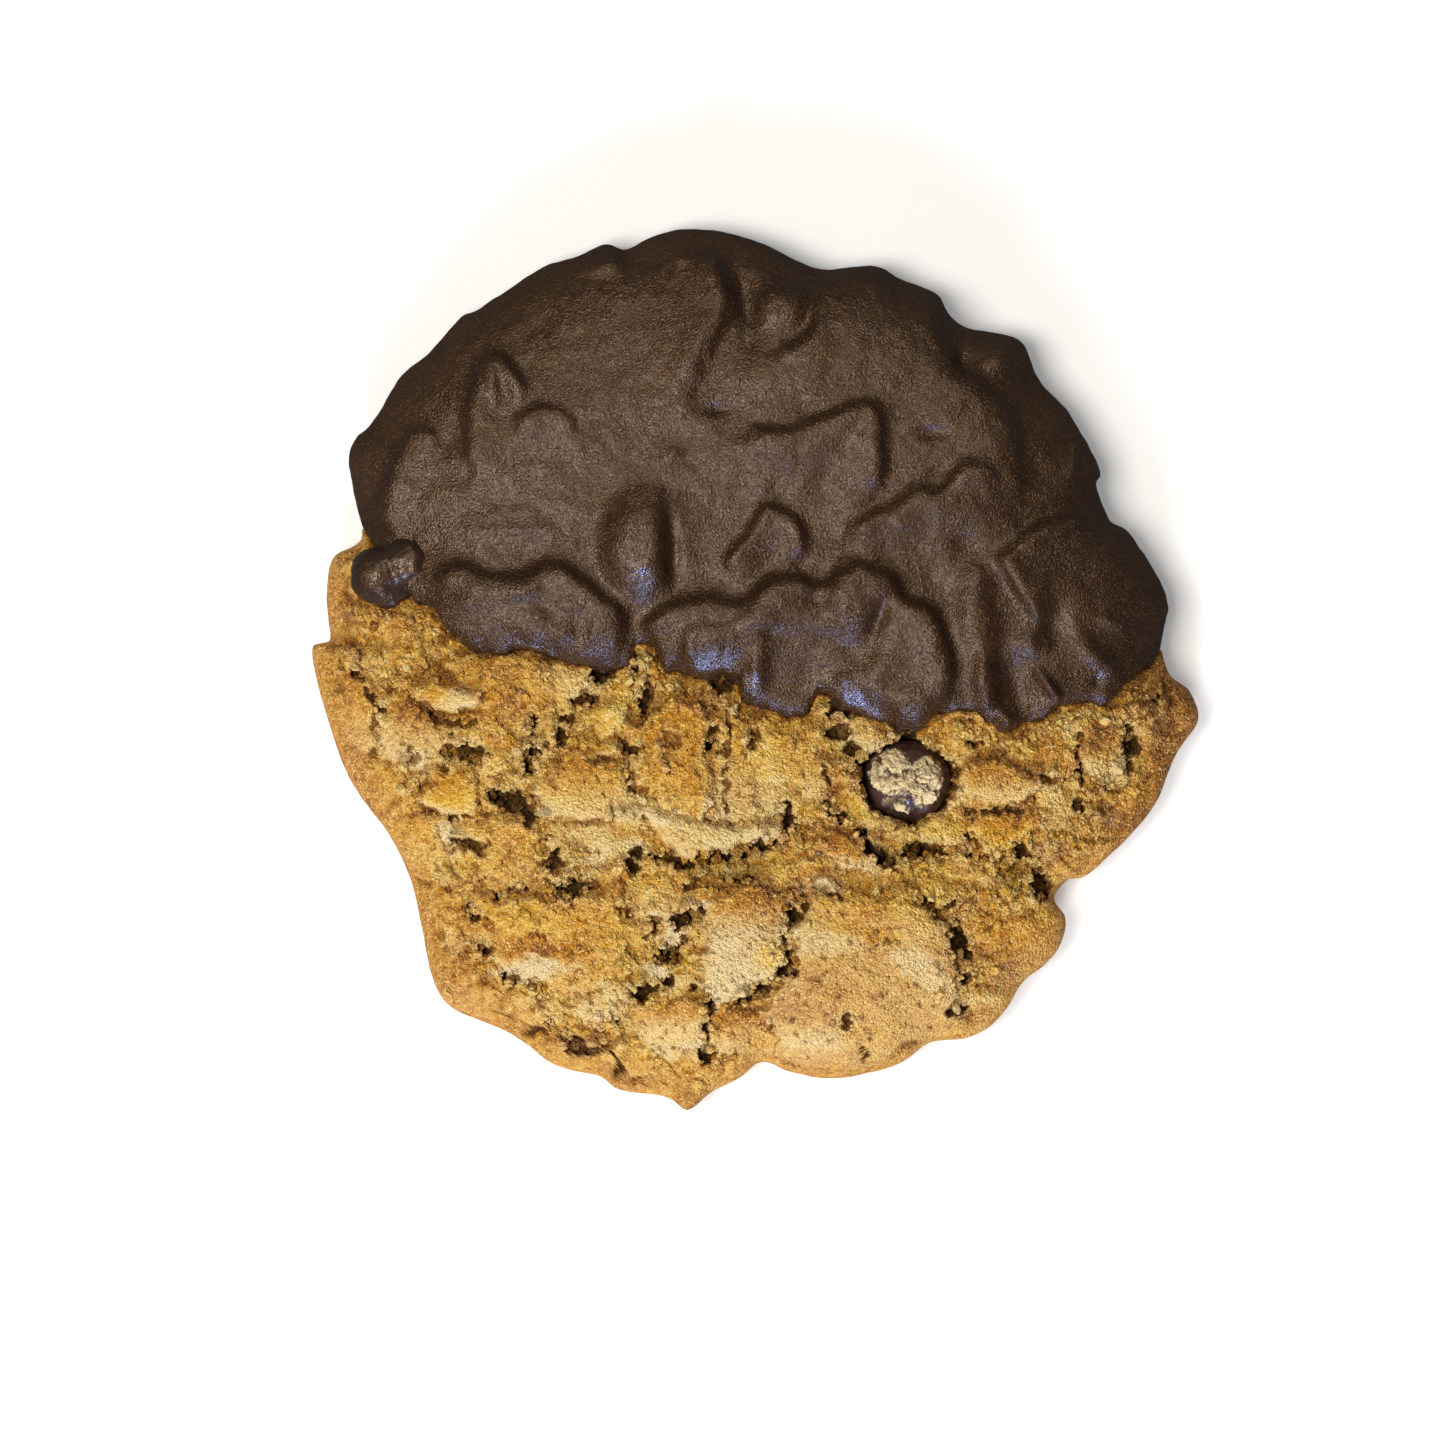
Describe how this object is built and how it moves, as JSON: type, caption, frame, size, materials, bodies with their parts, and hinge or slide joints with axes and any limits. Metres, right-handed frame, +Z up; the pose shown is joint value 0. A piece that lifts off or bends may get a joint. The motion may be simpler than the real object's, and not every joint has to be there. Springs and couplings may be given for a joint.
{
  "type": "potato chip cookie half dipped in chocolate",
  "caption": "Round drop cookie with a craggy golden crust, its upper half dipped in dark chocolate, with a chocolate chip sunk in the bare crust.",
  "frame": {"origin": "on the table, under the middle of the cookie's outline", "axes": "+Z up through the cookie's thickness, +Y towards the dipped part, -Y towards the bare crust"},
  "size_m": [0.0796, 0.0792, 0.0147],
  "materials": {
    "crust": "matte, craggy and granular, from pale cream on broken flakes to toasted brown on the tops",
    "chocolate": "semi-matte dark chocolate with soft sheen and a fine leathery grain",
    "chip": "dark chocolate chip with a cap of pale crumb"
  },
  "bodies": {
    "root": {"biscuit": "crust", "chocolate_coat": "chocolate", "chocolate_chip": "chip"}
  },
  "joints": []
}
